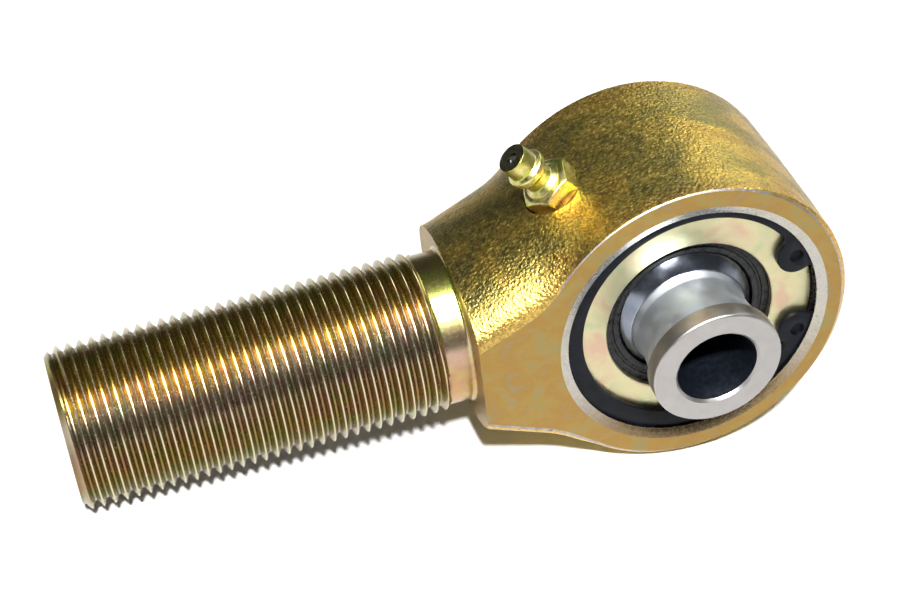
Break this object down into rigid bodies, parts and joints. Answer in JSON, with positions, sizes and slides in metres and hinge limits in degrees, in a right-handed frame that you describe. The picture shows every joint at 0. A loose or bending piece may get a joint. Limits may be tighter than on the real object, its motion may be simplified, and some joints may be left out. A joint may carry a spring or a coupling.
{
  "type": "rod end bearing",
  "caption": "Forged rod end with a threaded shank, an eye that carries a bored ball between split races, a retaining ring and a grease fitting.",
  "frame": {"origin": "centre of the ball, on the bolt bore's axis", "axes": "+X runs from the threaded shank towards the eye's far side, Y is the eye's bore axis with the retaining ring on the -Y side, +Z points to the side with the grease fitting"},
  "size_m": [0.1223, 0.051, 0.0556],
  "materials": {
    "yellow_zinc_forging": "forged steel with yellow zinc plating, grainy outside and machined on the faces",
    "polished_steel": "ground and polished bare steel",
    "race_plastic": "black acetal",
    "pale_zinc": "pale yellow zinc, satin",
    "blued_spring_steel": "black phosphate on spring steel",
    "yellow_zinc_fitting": "bright yellow zinc",
    "bearing_steel": "polished",
    "spring_wire": "drawn wire"
  },
  "bodies": {
    "housing": {"forged_housing": "yellow_zinc_forging", "retaining_washer": "pale_zinc", "snap_ring": "blued_spring_steel", "grease_fitting_body": "yellow_zinc_fitting", "fitting_spring": "spring_wire"},
    "races": {"race_front": "race_plastic", "race_rear": "race_plastic"},
    "ball": {"ball": "polished_steel"},
    "check_ball": {"fitting_check_ball": "bearing_steel"}
  },
  "joints": [
    {"name": "race_turn", "type": "hinge", "parent": "housing", "child": "races", "pos_m": [0, 0, 0], "axis": [0, -1, 0], "continuous": true},
    {"name": "ball_tilt", "type": "hinge", "parent": "races", "child": "ball", "pos_m": [0, 0, 0], "axis": [1, 0, 0], "range_deg": [-11.2, 4.8]},
    {"name": "check_ball_slide", "type": "slide", "parent": "housing", "child": "check_ball", "axis": [0.6184, 0, -0.7859], "range_m": [0, 0.0008], "stiffness_N_per_m": 150, "springref_m": -0.0005, "deforming": ["fitting_spring"]}
  ]
}
